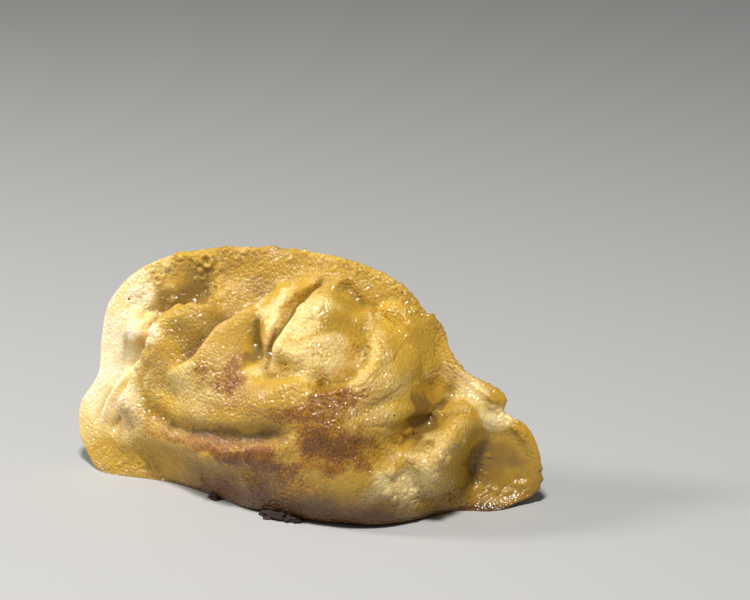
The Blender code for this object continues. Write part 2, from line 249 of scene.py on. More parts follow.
# %% Belly and sealed edge
TINY = 1e-6
BELLY_FRONT = 14.4
BELLY_BACK = 10.5
EDGE_HALF = 0.85
RIM_INSET = 1.25
SEAL_WIDTH = 5.0
SEAL_SOFT = 1.3
UNDERSIDE_DEPTH = 20.0
UNDERSIDE_CORNER = 9.0
UNDERSIDE_TURN = 11.0
UNDERSIDE_POWER = 3.8


def half_moon(cells):
    """The folded wrapper before pleating: (u, v, w) for each cell, and how near the rim each is."""
    a, b, side = cells.T
    x = a * np.sqrt(1 - b * b / 2)
    y = b * np.sqrt(1 - a * a / 2)
    far = np.minimum(np.hypot(x, y), 1)
    angle = np.arctan2(y, x)
    moon = moon_radius(angle) - RIM_INSET - torn(angle)
    below = np.maximum(-np.sin(angle), TINY) / UNDERSIDE_DEPTH
    edge = (moon**-UNDERSIDE_CORNER + below**UNDERSIDE_CORNER) ** (-1 / UNDERSIDE_CORNER)
    rim_turn = math.pi / 2 * side
    reach = far * edge + EDGE_HALF * np.where(far > 1 - TINY, np.cos(rim_turn), 0)
    u = BELLY_CENTRE[0] + reach * np.cos(angle)
    v = BELLY_CENTRE[1] + reach * np.sin(angle)
    seal = SEAL_WIDTH / moon
    past_seal = np.clip((1 - far * edge / moon - seal) / (1 - seal), 0, 1)
    swell = np.sin(math.pi / 2 * past_seal) ** SEAL_SOFT
    drop = np.clip((UNDERSIDE_TURN - v) / (UNDERSIDE_TURN - BELLY_CENTRE[1] + UNDERSIDE_DEPTH), 0, 1)
    full = np.where(side > 0, BELLY_FRONT, BELLY_BACK) - EDGE_HALF
    thick = full * swell * np.sqrt(1 - drop**UNDERSIDE_POWER)
    w = EDGE_HALF * np.sin(rim_turn) + np.sign(side) * thick
    return np.stack([u, v, w], -1), far


print("belly in mm:", BELLY_FRONT + BELLY_BACK, "rim in mm:", 2 * EDGE_HALF)

# %% [markdown]
# ## The pleats' paths
# A pleat is pinched from one layer towards the other, so it is a ridge with a sharp side, a soft side
# and a crease next to it. Sculpting is the usual way to make one. Here each is a path of a few points
# on the wrapper instead, because a path can be checked point by point against the real fold. These are
# the paths of the large ones, from the left end to the right.

# %% Paths of the left pleats
FIRST_PLEAT = (
    (-34.4, 8), (-33.2, 12.6), (-31.2, 16.6), (-28.4, 20.2), (-26.7, 23), (-26.0, 25.8),
    (-24.2, 27.8), (-16.5, 29.2),
)
SECOND_PLEAT = (
    (-8.2, 36), (-9.8, 31.6), (-13.4, 28.4), (-15.9, 26.2), (-17.0, 23.4), (-19.4, 19.8), (-25, 16.4),
)
SECOND_VALLEY = ((-11.0, 35.5), (-12.4, 32.0), (-15.6, 29.6), (-18.4, 26.6), (-19.6, 23), (-23.0, 18.8))
THIRD_CREASE = ((-11.0, 31.0), (-10.7, 28.4), (-10.4, 25.6), (-9.9, 23.2), (-9.0, 21.0), (-8.0, 18.8))
THIRD_PLEAT = (
    (-2.6, 37.4), (-3.9, 34.8), (-5.6, 32.4), (-6.5, 30.2), (-7.1, 28.0), (-8.0, 25.8), (-8.8, 23.6),
)
BELLY_CREASE = (
    (-31.0, 16.0), (-29.2, 13.0), (-24.4, 10.4), (-18.0, 9.8), (-11.2, 10.2), (-5.3, 11.2), (1.0, 13.8),
)
left_paths = (FIRST_PLEAT, SECOND_PLEAT, SECOND_VALLEY, THIRD_CREASE, THIRD_PLEAT, BELLY_CREASE)
print("left paths:", len(left_paths))

# %% Paths of the right pleats
FOURTH_SLIT = (
    (-1.4, 36.6), (-2.8, 34.8), (-4.5, 32.6), (-5.5, 30.6), (-6.0, 28.2), (-6.8, 26), (-7.5, 24),
    (-7.9, 22.2), (-7.5, 20.4), (-5.0, 20.0), (-3.2, 21.2),
)
LEFT_LOBE = ((-6.2, 21.2), (-5.4, 24.6), (-4.2, 28.4), (-2.4, 32.0), (-0.8, 35.0))
UNDER_RIGHT_LOBE = (
    (-1.6, 20.0), (0.6, 19.2), (2.6, 19.6), (4.4, 20.8), (5.8, 22.8), (6.1, 25.0), (5.6, 26.8),
)
LOBE_WRINKLE = ((-3.0, 20.6), (-2.3, 23.2), (-1.2, 24.8), (1.0, 25.6), (3.2, 25.0))
BELLY_LIP = (
    (-10.4, 17.6), (-7.6, 17.2), (-4.6, 18.6), (-2.2, 18.9), (0.4, 17.9), (2.9, 18.2), (5.2, 19.6),
    (6.9, 22.0), (7.2, 25.0), (6.6, 27.6), (7.2, 30.4),
)
FIFTH_ARCH = ((15.8, 28.8), (13.4, 30.6), (10.8, 31.9), (8.4, 31.5), (6.8, 29.6))
FIFTH_WALL = ((7.8, 31.0), (7.8, 27.6), (7.1, 24.4), (6.8, 20.4), (5.4, 16.6))
LONG_VALLEY = (
    (18.6, 26.0), (18.2, 21.6), (17.6, 17.6), (16.2, 14.2), (14.0, 11.9), (11.8, 10.2), (9.2, 8.8),
    (6.4, 7.8),
)
LONG_RIDGE = ((24.2, 18.2), (22.2, 16.0), (19.9, 13.4), (17.9, 10.9), (16.3, 8.6), (15.6, 6.0), (15.8, 2.0))
right_paths = (
    FOURTH_SLIT, LEFT_LOBE, UNDER_RIGHT_LOBE, LOBE_WRINKLE, BELLY_LIP, FIFTH_ARCH, FIFTH_WALL,
    LONG_VALLEY, LONG_RIDGE,
)
print("right paths:", len(right_paths))

# %% [markdown]
# ## Table of folds and swells
# A fold gets a height, a width on either side of its path, a lean that hooks it over and a share of its
# length over which it fades out. Plump or sunken places are swells: turned ellipses with a height. The
# solid was shaped with nearly the same table, so the skin and the solid agree.

# %% Folds of the front
Fold = namedtuple("Fold", "name path height left right lean fade", defaults=(0.0, 0.25))
FRONT_FOLDS = (
    Fold("first pleat", FIRST_PLEAT, 3.1, 0.9, 4.4, 0.7, 0.15),
    Fold("second pleat", SECOND_PLEAT, 2.3, 4.2, 1.0, -0.7, 0.2),
    Fold("second valley", SECOND_VALLEY, -1.5, 1.6, 2.4),
    Fold("third crease", THIRD_CREASE, -2.8, 0.9, 2.2, 0, 0.5),
    Fold("third pleat", THIRD_PLEAT, 1.9, 0.6, 2.6),
    Fold("fourth slit", FOURTH_SLIT, -1.7, 0.6, 0.8),
    Fold("under right lobe", UNDER_RIGHT_LOBE, -1.9, 2.2, 0.8),
    Fold("belly lip", BELLY_LIP, 1.3, 0.9, 3.0, 0, 0.1),
    Fold("lobe wrinkle", LOBE_WRINKLE, 0.5, 0.6, 2.4),
    Fold("fourth shoulder", ((0.8, 36.0), (2.2, 34.2), (3.8, 32.4), (5.2, 30.4)), -1.3, 1.0, 1.6),
    Fold("left lobe", LEFT_LOBE, 3.0, 1.3, 4.8, 0.5, 0.2),
    Fold("fifth arch", FIFTH_ARCH, 1.4, 2.4, 0.9),
    Fold("fifth wall", FIFTH_WALL, 0.6, 2.6, 1.2),
    Fold("long valley", LONG_VALLEY, -4.0, 1.3, 3.6, 0, 0.4),
    Fold("long ridge", LONG_RIDGE, 3.6, 3.0, 2.0, 0, 0.3),
    Fold("end pocket wall", ((22.2, 12.4), (21.2, 10.2), (20.6, 7.4), (20.4, 3)), 0.5, 0.9, 2.0),
    Fold("end pocket floor", ((20, 2.2), (25, 2.6), (31, 3.4)), 1.0, 1.4, 1.6),
    Fold("belly crease", BELLY_CREASE, -1.9, 1.5, 1.5),
    Fold("belly crease lip", ((-33, 6.0), (-22, 6.2), (-12, 6.8), (-2, 9.0)), 0.7, 2.2, 2.2),
    Fold("left end crease", ((-36.4, 20), (-38.4, 13.5), (-39.4, 5)), -2.8, 0.8, 1.0),
    Fold("left end second crease", ((-31.4, 18.4), (-33.2, 13.4), (-35.2, 9.2), (-37, 5.4)), -2.0, 0.8, 1.0),
    Fold("left end finger", ((-33.8, 18.2), (-36.3, 13.9), (-38.0, 10.2), (-38.9, 5.4)), 1.9, 0.9, 0.9),
    Fold("curl", ((22.0, 20.6), (24.8, 18.8), (27.0, 16.8), (28.4, 14.4)), 1.3, 1.3, 1.3),
    Fold("under curl", ((23.6, 15.6), (25.8, 15.4), (27.8, 14.0)), -0.5, 1.1, 1.1),
    Fold("second curl", ((28.4, 14.8), (30.0, 12.6), (31.0, 10.0)), 1.2, 1.0, 1.0),
)
print("front folds:", len(FRONT_FOLDS))

# %% Swells of the front
Swell = namedtuple("Swell", "name centre radii turn height power", defaults=(1.5,))
FRONT_SWELLS = (
    Swell("left pocket", (-29.0, 31), (11, 6.6), 34, -4.0, 1.8),
    Swell("knob in left pocket", (-33.6, 24.4), (4.2, 3.8), 0, 3.0, 1.6),
    Swell("first pleat", (-21, 23), (9, 7.5), -20, 1.2, 1.6),
    Swell("belly", (-8, 15), (26, 8.0), 3, 1.0, 1.6),
    Swell("low belly", (-8, 11), (24, 8), 3, 1.6),
    Swell("left foot", (-23, 0), (14, 9), 0, -2.6, 1.5),
    Swell("right foot", (9, 2), (15, 9), 0, 2.4, 1.5),
    Swell("fourth left lobe", (-2.8, 27.4), (8.6, 5.0), 63, 1.2, 1.6),
    Swell("fourth right lobe", (1.6, 22.8), (7.0, 5.6), 24, 2.2, 1.7),
    Swell("fourth top", (1.2, 31.6), (6.6, 6.4), -20, 1.6, 1.7),
    Swell("fifth pleat", (12.0, 22.4), (7.6, 12.4), 6, 3.7, 1.7),
    Swell("crinkled knob", (5.2, 29.3), (1.7, 1.9), 0, 0.9, 1.2),
    Swell("fourth middle", (1.8, 28.2), (6.0, 5.6), 0, 1.7, 1.7),
    Swell("end pocket", (25.6, 6.4), (7.4, 7.4), 12, -4.5, 1.8),
    Swell("square wrinkle", (11.0, 7.2), (2.2, 1.6), 40, 0.8),
    Swell("dough bump", (-20.6, 35.4), (2.2, 2.6), -20, 0.7, 1.0),
)
print("front swells:", len(FRONT_SWELLS))

# %% Folds and swells of the back
BACK_FOLDS = (
    Fold("back dent", ((-20, 34), (-17, 27), (-18, 19)), -1.0, 3.2, 3.2),
    Fold("back ridge", ((4, 37), (5, 29), (2, 20)), 0.7, 4.0, 4.0),
    Fold("back right dent", ((15, 28), (16, 20), (13, 11)), -0.9, 3.0, 3.4),
    Fold("back crease", ((-31, 10), (-18, 7.5), (-4, 9)), -0.8, 1.8, 1.8),
)
BACK_SWELLS = (
    Swell("back left swell", (-26, 22), (10, 9), 10, 1.0),
    Swell("back belly", (-3, 17), (20, 8), 0, 0.9),
    Swell("back end hollow", (25, 9), (6, 7), 10, -1.2),
)
print("back folds:", len(BACK_FOLDS), "back swells:", len(BACK_SWELLS))

# %% [markdown]
# ## Distance to a fold
# To raise a fold, the distance from every point of the wrapper to the fold's path is needed. A sculpt
# brush measures it for one stroke at a time, and arrays measure it for all points at once. The path is
# a smooth line through its few points. Near a bend the distance is blended between the line's short
# stretches, so that a wide soft fold has no kink there.

# %% Smooth paths
PATH_STEPS = 8


def curve_through(points):
    """A smooth polyline through the points of a path."""
    known = np.array(points, float)
    known = np.vstack([2 * known[0] - known[1], known, 2 * known[-1] - known[-2]])
    t = np.linspace(0, 1, PATH_STEPS, endpoint=False)[:, None]
    pieces = []
    for p0, p1, p2, p3 in zip(known, known[1:], known[2:], known[3:]):
        bend = 2 * p0 - 5 * p1 + 4 * p2 - p3
        twist = 3 * p1 - p0 - 3 * p2 + p3
        pieces.append(p1 + 0.5 * (t * (p2 - p0) + t * t * bend + t**3 * twist))
    return np.vstack([*pieces, known[-2:-1]])


print("points on the first pleat's curve:", len(curve_through(FIRST_PLEAT)))

# %% Distance to a path
PATH_BLEND = 0.2
PATH_NEAR = 0.05


def beside(u, v, path):
    """How far points lie to the left of a path and past its ends, the share run, and the way left."""
    line = curve_through(path)
    step = np.diff(line, axis=0)
    length = np.hypot(*step.T)
    ahead = step / length[:, None]
    left = np.stack([-ahead[:, 1], ahead[:, 0]], -1)
    passed = np.cumsum(length) - length
    away = np.stack([u, v], -1)[:, None] - line[:-1]
    ran = (away * ahead).sum(-1)
    along = np.clip(ran, 0, length)
    gap = np.linalg.norm(away - along[..., None] * ahead, axis=-1)
    nearest = gap.argmin(1)[:, None]
    least = np.take_along_axis(gap, nearest, 1)
    weight = np.exp(-(gap - least) / (PATH_BLEND * (least + PATH_NEAR)))
    weight /= weight.sum(1, keepdims=True)
    offset = (weight * (away * left).sum(-1)).sum(1)
    past = np.take_along_axis(ran - along, nearest, 1)[:, 0]
    first_or_last = np.isin(nearest[:, 0], (0, len(length) - 1))
    share = np.take_along_axis(passed + along, nearest, 1)[:, 0] / length.sum()
    return offset, np.where(first_or_last, np.abs(past), 0), share, weight @ left


from_centre = beside(np.array([BELLY_CENTRE[0]]), np.array([BELLY_CENTRE[1]]), FIRST_PLEAT)[0]
print("belly's centre is beside the first pleat in mm:", np.round(from_centre, 1))

# %% [markdown]
# ## Height of the folds
# A real fold is highest along its path and falls off on both sides, fast on the pinched side. A bell
# curve with a width of its own on each side does the same. All folds and swells are added up, with a
# few slow waves, because dough is never quite even.

# %% Steps and mounds


def smooth(x, low, high):
    """Rise from 0 at low to 1 at high with level ends."""
    t = np.clip((x - low) / (high - low), 0, 1)
    return t * t * (3 - 2 * t)


def mound(u, v, centre, radii, turn):
    """1 at the middle of an ellipse turned by an angle in degrees, falling to 0 at its edge."""
    turned = math.radians(turn)
    away_u, away_v = u - centre[0], v - centre[1]
    along = (away_u * math.cos(turned) + away_v * math.sin(turned)) / radii[0]
    aside = (away_v * math.cos(turned) - away_u * math.sin(turned)) / radii[1]
    return np.clip(1 - along**2 - aside**2, 0, 1)


print("a step at its quarters:", smooth(np.array([0.25, 0.5, 0.75]), 0, 1))

# %% Fold heights
END_ROUND = 2.0
FOLD_REACH = 2.5
# (waves per mm along u, along v, phase, height)
WAVES = (
    (0.21, 0.05, 0.4, 0.22), (0.09, 0.31, 1.9, 0.20), (0.37, -0.23, 3.1, 0.12), (-0.16, 0.42, 5.0, 0.12),
    (0.61, 0.33, 2.2, 0.06), (-0.52, 0.71, 0.9, 0.06),
)


def pleat(u, v, folds, swells):
    """The height of all folds and swells at each point, and how far they lean in u and v."""
    height = np.zeros(u.shape)
    shift = np.zeros(u.shape + (2,))
    for fold in folds:
        path = np.array(fold.path)
        reach = FOLD_REACH * max(fold.left, fold.right)
        low, high = path.min(0) - reach, path.max(0) + reach
        near = (u > low[0]) & (u < high[0]) & (v > low[1]) & (v < high[1])
        offset, beyond, share, left = beside(u[near], v[near], fold.path)
        width = np.where(offset > 0, fold.left, fold.right)
        profile = np.exp(-((offset / width) ** 2) - (beyond / END_ROUND) ** 2)
        profile *= smooth(share, 0, fold.fade) * smooth(1 - share, 0, fold.fade)
        height[near] += fold.height * profile
        shift[near] += (fold.lean * profile)[..., None] * left
    for swell in swells:
        height += swell.height * mound(u, v, swell.centre, swell.radii, swell.turn) ** swell.power
    for along_u, along_v, phase, size in WAVES:
        height += size * np.sin(along_u * u + along_v * v + phase)
    return height, shift


print("waves:", len(WAVES), "highest in mm:", max(size for *_, size in WAVES))

# %% [markdown]
# ## Crinkled edges
# Fried folds aren't straight: their edges are crinkled every millimetre or two, where the dough
# blistered. Each path could be given many more points. Shifting the wrapper's points sideways by a
# little noise before their fold height is read crinkles all folds at once. Perlin noise comes with
# Blender, and the helper reads it at a grain given in millimetres.

# %% Crinkled folds
# (size, reach) of the noise
CRINKLES = ((2.6, 0.26), (1.0, 0.06))
CRINKLE_SEEDS = (11.3, 47.9)


def grain(points, size, seed):
    """Smooth random heights from -1 to 1, with lumps of about this size in millimetres."""
    shift = Vector((seed, 2 * seed, 3 * seed))
    return np.array([noise.noise(Vector(point) / size + shift) for point in points])


def crinkled(u, v):
    """The points of the wrapper, shifted sideways by a little noise."""
    flat = np.stack([u, v, np.zeros(len(u))], -1)
    for size, far in CRINKLES:
        u = u + far * grain(flat, size, CRINKLE_SEEDS[0])
        v = v + far * grain(flat, size, CRINKLE_SEEDS[1])
    return u, v


print("crinkles of mm:", [size for size, _ in CRINKLES])

# %% [markdown]
# ## Put the folds on the half-moon
# The dough keeps its thickness when it is folded, so no hollow may reach through to the other side. A
# hard limit would leave a visible step, so a soft one is used. The folds fade out towards the sealed
# edge, which has long waves of its own, as a pinched rim has.

# %% Pleated half-moon
FACE_PULL = 1.4
CALM_FROM = 0.88
CURL_FREEDOM = 0.05
CURLS_FROM = (18.0, 23.0)
THINNEST_HALF = 0.5
FRONT_REACH = 1.3
BACK_REACH = 0.4
LIMIT_SOFT = 0.4
# (waves per turn, phase, height)
RIM_WAVES = ((6, 0.3, 0.5), (11, 2.0, 0.4), (17, 4.1, 0.2))
RIM_WAVES_FROM = 0.6


def pleated(points, normals, far, front):
    """The half-moon with its folds and waves."""
    u, v, w = points.T
    height = np.zeros(len(points))
    shift = np.zeros((len(points), 2))
    height[front], shift[front] = pleat(*crinkled(u[front], v[front]), FRONT_FOLDS, FRONT_SWELLS)
    height[~front], shift[~front] = pleat(u[~front], v[~front], BACK_FOLDS, BACK_SWELLS)
    spare = np.abs(w) * np.where(front, FRONT_REACH, BACK_REACH) - THINNEST_HALF * front
    height = LIMIT_SOFT * np.logaddexp(0, (height + spare) / LIMIT_SOFT) - spare
    calm = 1 - smooth(far, CALM_FROM + CURL_FREEDOM * smooth(u, *CURLS_FROM), 1.0)
    outward = normals.copy()
    outward[:, 2] += np.where(front, FACE_PULL, -FACE_PULL)
    outward /= np.linalg.norm(outward, axis=1, keepdims=True)
    result = points + outward * (height * calm)[:, None]
    result[:, :2] += shift * calm[:, None]
    turn = np.arctan2(v - BELLY_CENTRE[1], u - BELLY_CENTRE[0])
    for waves, phase, size in RIM_WAVES:
        result[:, 2] += size * np.sin(waves * turn + phase) * smooth(far, RIM_WAVES_FROM, 1.0)
    return result


print("thinnest dough in mm:", 2 * THINNEST_HALF)

# %% [markdown]
# ## Stand it on its base
# A gyoza leans back a little, curves like a crescent and sits on a flat seared base. A Simple Deform
# modifier could bend it. A few lines of trigonometry do it too, and keep every point's place on the
# wrapper known for the finishes later on. The base's edge is rounded over, not cut sharp.

# %% Lean, bend and settle
BEND_RADIUS = 116.0
BEND_MIDDLE = 4.0
LEAN = math.radians(16.5)
SET_BACK = 4.0
SEAR_ROUND = 0.9
SEAR_CUT = 0.06


def settled(points):
    """Lean the half-moon back, bend it into a crescent and settle it on its flat base."""
    u, v, w = points.T
    y = -w * math.cos(LEAN) + v * math.sin(LEAN) - SET_BACK
    z = v * math.cos(LEAN) + w * math.sin(LEAN)
    middle = BEND_RADIUS + BEND_MIDDLE
    angle = u / BEND_RADIUS
    z = SEAR_ROUND * np.logaddexp(0, z / SEAR_ROUND) - SEAR_CUT
    return np.stack([(middle - y) * np.sin(angle), middle - (middle - y) * np.cos(angle), z], -1)


print("lean in degrees:", round(math.degrees(LEAN), 1), "bend radius in mm:", BEND_RADIUS)

# %% [markdown]
# ## A sandwich of two sheets
# The skin needs a mesh that is even, closed and finest where the detail shows. A sphere would crowd its
# faces at two poles. Two square grids, bridged round their edges into a flat sandwich, have no pole and
# bend well into the half-moon, because a square maps onto a disc. The front's cells are split once more.

# %% Flat sandwich
ACROSS = 176
UP = 122
RIM_STEPS = 4
# A point's side runs from 1 on the front sheet to -1 on the back sheet
FINE_ABOVE = -0.1
FRONT_ABOVE = -0.5


def sandwich(across, up, rim_steps):
    """Two square sheets joined round their edges, whose z is their side. The front's cells are halved."""
    bm = bmesh.new()
    for side in (1, -1):
        level = Matrix.Translation((0, 0, side))
        bmesh.ops.create_grid(bm, x_segments=across, y_segments=up, size=1, matrix=level)
    bmesh.ops.bridge_loops(bm, edges=[edge for edge in bm.edges if edge.is_boundary])
    walls = [edge for edge in bm.edges if abs(edge.verts[0].co.z - edge.verts[1].co.z) > 1]
    bmesh.ops.subdivide_edges(bm, edges=walls, cuts=rim_steps - 1, use_grid_fill=True)
    fine = [edge for edge in bm.edges if min(vertex.co.z for vertex in edge.verts) > FINE_ABOVE]
    bmesh.ops.subdivide_edges(bm, edges=fine, cuts=1, use_grid_fill=True)
    bmesh.ops.recalc_face_normals(bm, faces=bm.faces[:])
    return bm


skin = sandwich(ACROSS, UP, RIM_STEPS)
print("sandwich points:", len(skin.verts), "faces:", len(skin.faces))

# %% [markdown]
# ## Fold the sandwich into a gyoza
# Now the flat sandwich becomes the half-moon, gets its pleats and is set on its base. A few rounds of
# smoothing relax cells that the folds squeezed, and take nothing off the folds that the eye would miss.

# %% Skin in its shape
SMOOTH_ROUNDS = 5
EVERY_WAY = {"use_axis_x": True, "use_axis_y": True, "use_axis_z": True}


def places(bm):
    """The points of a bmesh as an array."""
    return np.array([vertex.co for vertex in bm.verts])


def normals_of(bm):
    """The normals of a bmesh's points as an array."""
    return np.array([vertex.normal for vertex in bm.verts])


def move(bm, points):
    """Move the points of a bmesh."""
    for vertex, place in zip(bm.verts, points):
        vertex.co = place
    bm.normal_update()


cells = places(skin)
moon, far = half_moon(cells)
move(skin, moon)
move(skin, settled(pleated(moon, normals_of(skin), far, cells[:, 2] > 0)))
for _ in range(SMOOTH_ROUNDS):
    bmesh.ops.smooth_vert(skin, verts=skin.verts[:], factor=0.5, **EVERY_WAY)
print("skin in mm:", np.round(np.ptp(places(skin), axis=0), 1))

# %% [markdown]
# ## Close the base
# The underside fried flat against the pan. The skin is cut level with a plane and the hole is filled.
# Cutting changes which points there are, so each one first remembers, in layers of the mesh, where it
# lies on the wrapper. The cut works out the same values for the new points.

# %% Level base
GROUND = {"plane_co": (0, 0, 0), "plane_no": (0, 0, 1)}


def remember(name, values):
    """Store a value on each point of the skin."""
    layer = skin.verts.layers.float.new(name)
    for vertex, value in zip(skin.verts, values):
        vertex[layer] = value


def remembered(name):
    """What each point of the skin remembers under this name."""
    layer = skin.verts.layers.float[name]
    return np.array([vertex[layer] for vertex in skin.verts])


remember("u", moon[:, 0])
remember("v", moon[:, 1])
remember("side", cells[:, 2])
everything = skin.verts[:] + skin.edges[:] + skin.faces[:]
bmesh.ops.bisect_plane(skin, geom=everything, dist=TINY, clear_inner=True, **GROUND)
bmesh.ops.holes_fill(skin, edges=[edge for edge in skin.edges if edge.is_boundary], sides=0)
bmesh.ops.recalc_face_normals(skin, faces=skin.faces[:])
u, v = remembered("u"), remembered("v")
front = remembered("side") > FRONT_ABOVE
print("points:", len(skin.verts), "open edges:", sum(edge.is_boundary for edge in skin.edges))

# %% [markdown]
# ## Lumps, wrinkles and grain
# Fried dough is uneven at three sizes: slow lumps, wrinkles of about a millimetre and a fine grain. A
# Displace modifier could add them, but each would need a vertex group to fade it. Here noise moves the
# points along their normals. It fades out towards the flat base, and the finer sizes fade out in the
# oily hollows and on the curl, which are smooth on a real one.

# %% Where the skin is crisp
# (middle, radii, turn in degrees)
HOLLOWS = (
    ((-28.0, 31.5), (9.5, 5.0), 34), ((12.5, 24.0), (4.6, 10.0), 12), ((26.0, 6.0), (7.4, 7.4), 12),
    ((15.8, 16.0), (3.6, 8.4), -32), ((2.6, 29.0), (3.8, 4.0), 0), ((3.4, 22.0), (3.6, 3.0), 24),
    ((-10.2, 25.0), (2.4, 6.4), -14), ((-39.5, 16.0), (9.0, 20.0), 0),
)
HOLLOW_CALM = 0.6
BACK_CRISP = 0.55
CURL_CALM = 0.7
CALM_CURL = (18.0, 24.0)

hollow = np.max([mound(u, v, *place) for place in HOLLOWS], axis=0)
crisp = 1 - HOLLOW_CALM * smooth(hollow, 0.0, 1.0) * front
crisp *= np.where(front, 1, BACK_CRISP) * (1 - CURL_CALM * smooth(u, *CALM_CURL))
print("average crispness:", round(float(crisp.mean()), 2))

# %% Lumps, wrinkles and grain
# Size and height in mm
Unevenness = namedtuple("Unevenness", "size height seed")
LUMPS = Unevenness(5.0, 0.16, 3.1)
WRINKLES = Unevenness(1.3, 0.035, 8.7)
GRAIN = Unevenness(0.55, 0.045, 21.5)
WRINKLE_LEVEL = 0.4
WRINKLE_DEPTH = 2
BASE_FADE = (0.02, 1.2)

points = places(skin)
lumps, wrinkles, fine = (grain(points, kind.size, kind.seed) for kind in (LUMPS, WRINKLES, GRAIN))
rise = LUMPS.height * lumps
rise += WRINKLES.height * crisp * (WRINKLE_LEVEL - WRINKLE_DEPTH * np.abs(wrinkles))
rise += GRAIN.height * crisp * fine
points += normals_of(skin) * (rise * smooth(points[:, 2], *BASE_FADE))[:, None]
move(skin, points)
print("rise in mm:", round(rise.min(), 3), "to", round(rise.max(), 3))

# %% [markdown]
# ## Where the blisters sit
# Water in the dough boils in the hot oil and leaves blisters of half a millimetre to a millimetre, in
# clusters along the pleat edges, on the ridge and in the left pocket. Scattering small meshes would
# leave seams, so the skin itself is raised. First their places: clusters with a count and a range of
# radii, and large ones listed one by one. The generator is seeded, so each run gives the same skin.

# %% Clusters of blisters
Cluster = namedtuple("Cluster", "centre radii turn count small large burst")
FRONT_CLUSTERS = (
    Cluster((-20.4, 32.2), (2.6, 2.0), 0, 16, 0.5, 1.0, 0.5),
    Cluster((-22.6, 36.4), (3.2, 1.9), 20, 14, 0.4, 0.9, 0.3),
    Cluster((-33.5, 30.0), (6.0, 4.0), 40, 14, 0.4, 0.9, 0.3),
    Cluster((-34.0, 24.4), (3.2, 3.0), 0, 14, 0.7, 1.4, 0.2),
    Cluster((-26.3, 23.8), (1.0, 4.6), -8, 30, 0.5, 1.1, 0.1),
    Cluster((-22.6, 28.6), (3.6, 0.9), 18, 12, 0.5, 0.9, 0.1),
    Cluster((-20.0, 38.6), (10.0, 1.3), 8, 26, 0.35, 0.8, 0.2),
    Cluster((-3.0, 38.8), (8.0, 1.4), -8, 20, 0.35, 0.7, 0.2),
    Cluster((11.5, 34.4), (6.5, 1.5), -38, 22, 0.35, 0.7, 0.2),
    Cluster((-8.0, 15.0), (20.0, 5.5), 5, 60, 0.3, 0.6, 0.2),
    Cluster((-16.0, 7.0), (12.0, 1.3), 0, 32, 0.4, 0.9, 0.2),
    Cluster((-31.0, 3.0), (5.0, 2.4), 0, 14, 0.4, 0.8, 0.2),
    Cluster((-18.8, 1.2), (1.6, 0.8), 0, 4, 0.6, 1.0, 0.8),
    Cluster((-2.3, 29.6), (1.8, 1.8), 0, 8, 0.4, 0.8, 0.4),
    Cluster((-7.4, 31.4), (1.2, 4.4), -18, 30, 0.35, 0.75, 0.1),
    Cluster((-1.0, 18.6), (7.5, 1.2), 0, 44, 0.35, 0.7, 0.1),
    Cluster((6.3, 19.6), (0.9, 0.9), 0, 2, 0.7, 0.9, 1.0),
    Cluster((6.6, 24.6), (1.0, 6.0), 0, 40, 0.35, 0.7, 0.1),
    Cluster((15.4, 9.4), (7.5, 4.2), 54, 36, 0.4, 1.1, 0.3),
    Cluster((13.2, 12.6), (3.0, 0.6), 54, 9, 0.4, 0.7, 0.1),
    Cluster((16.0, 2.0), (9.0, 1.6), 0, 26, 0.4, 1.0, 0.3),
    Cluster((26.5, 2.6), (4.2, 1.0), 8, 9, 0.4, 0.8, 0.2),
    Cluster((29.6, 13.4), (1.5, 1.8), 0, 12, 0.4, 0.8, 0.2),
    Cluster((26.6, 15.6), (2.0, 1.2), -30, 10, 0.3, 0.7, 0.1),
    Cluster((-3.0, 18.0), (38.0, 20.0), 0, 170, 0.25, 0.45, 0.2),
)
BACK_CLUSTERS = (
    Cluster((-2.0, 18.0), (36.0, 18.0), 0, 110, 0.4, 0.9, 0.3),
    Cluster((-14.0, 33.0), (14.0, 3.0), 10, 24, 0.4, 0.9, 0.2),
    Cluster((10.0, 8.0), (12.0, 3.0), 0, 22, 0.4, 1.0, 0.3),
)
print("blisters in clusters:", sum(cluster.count for cluster in FRONT_CLUSTERS + BACK_CLUSTERS))

# %% Large blisters listed one by one
# (u, v, radius, burst)
SINGLE_BLISTERS = (
    (-26.9, 22.6, 1.0, False), (-26.4, 24.6, 1.3, False), (-25.7, 26.6, 1.1, False),
    (-24.2, 28.0, 1.2, False), (-22.0, 28.7, 1.0, False), (-19.6, 29.0, 0.9, False),
    (-28.0, 20.6, 0.9, False), (-29.8, 18.4, 0.8, False), (-22.8, 37.0, 1.5, True),
    (-19.6, 39.6, 1.0, True), (-20.6, 32.6, 1.3, True), (-19.2, 31.6, 1.1, False),
    (-32.2, 32.6, 1.1, True), (-30.6, 35.0, 0.9, False), (-34.8, 26.6, 1.6, False), (-32.0, 25.0, 1.3, False),
    (-35.6, 23.0, 1.2, False), (-29.4, 26.8, 1.1, False), (-3.6, 30.0, 1.0, True), (-2.0, 28.6, 0.9, False),
    (6.4, 18.4, 0.9, True), (11.8, 31.4, 0.8, True), (15.4, 4.6, 1.2, True), (18.6, 1.6, 1.0, True),
    (16.6, 6.8, 1.1, False), (13.6, 1.4, 1.0, True), (20.6, 0.9, 0.9, True), (-16.6, 5.6, 1.1, True),
    (-12.4, 6.4, 0.9, False), (-18.6, 1.4, 1.2, True), (-9.2, 3.4, 1.0, True), (7.6, 7.6, 0.8, False),
)
random_places = random.Random(7)


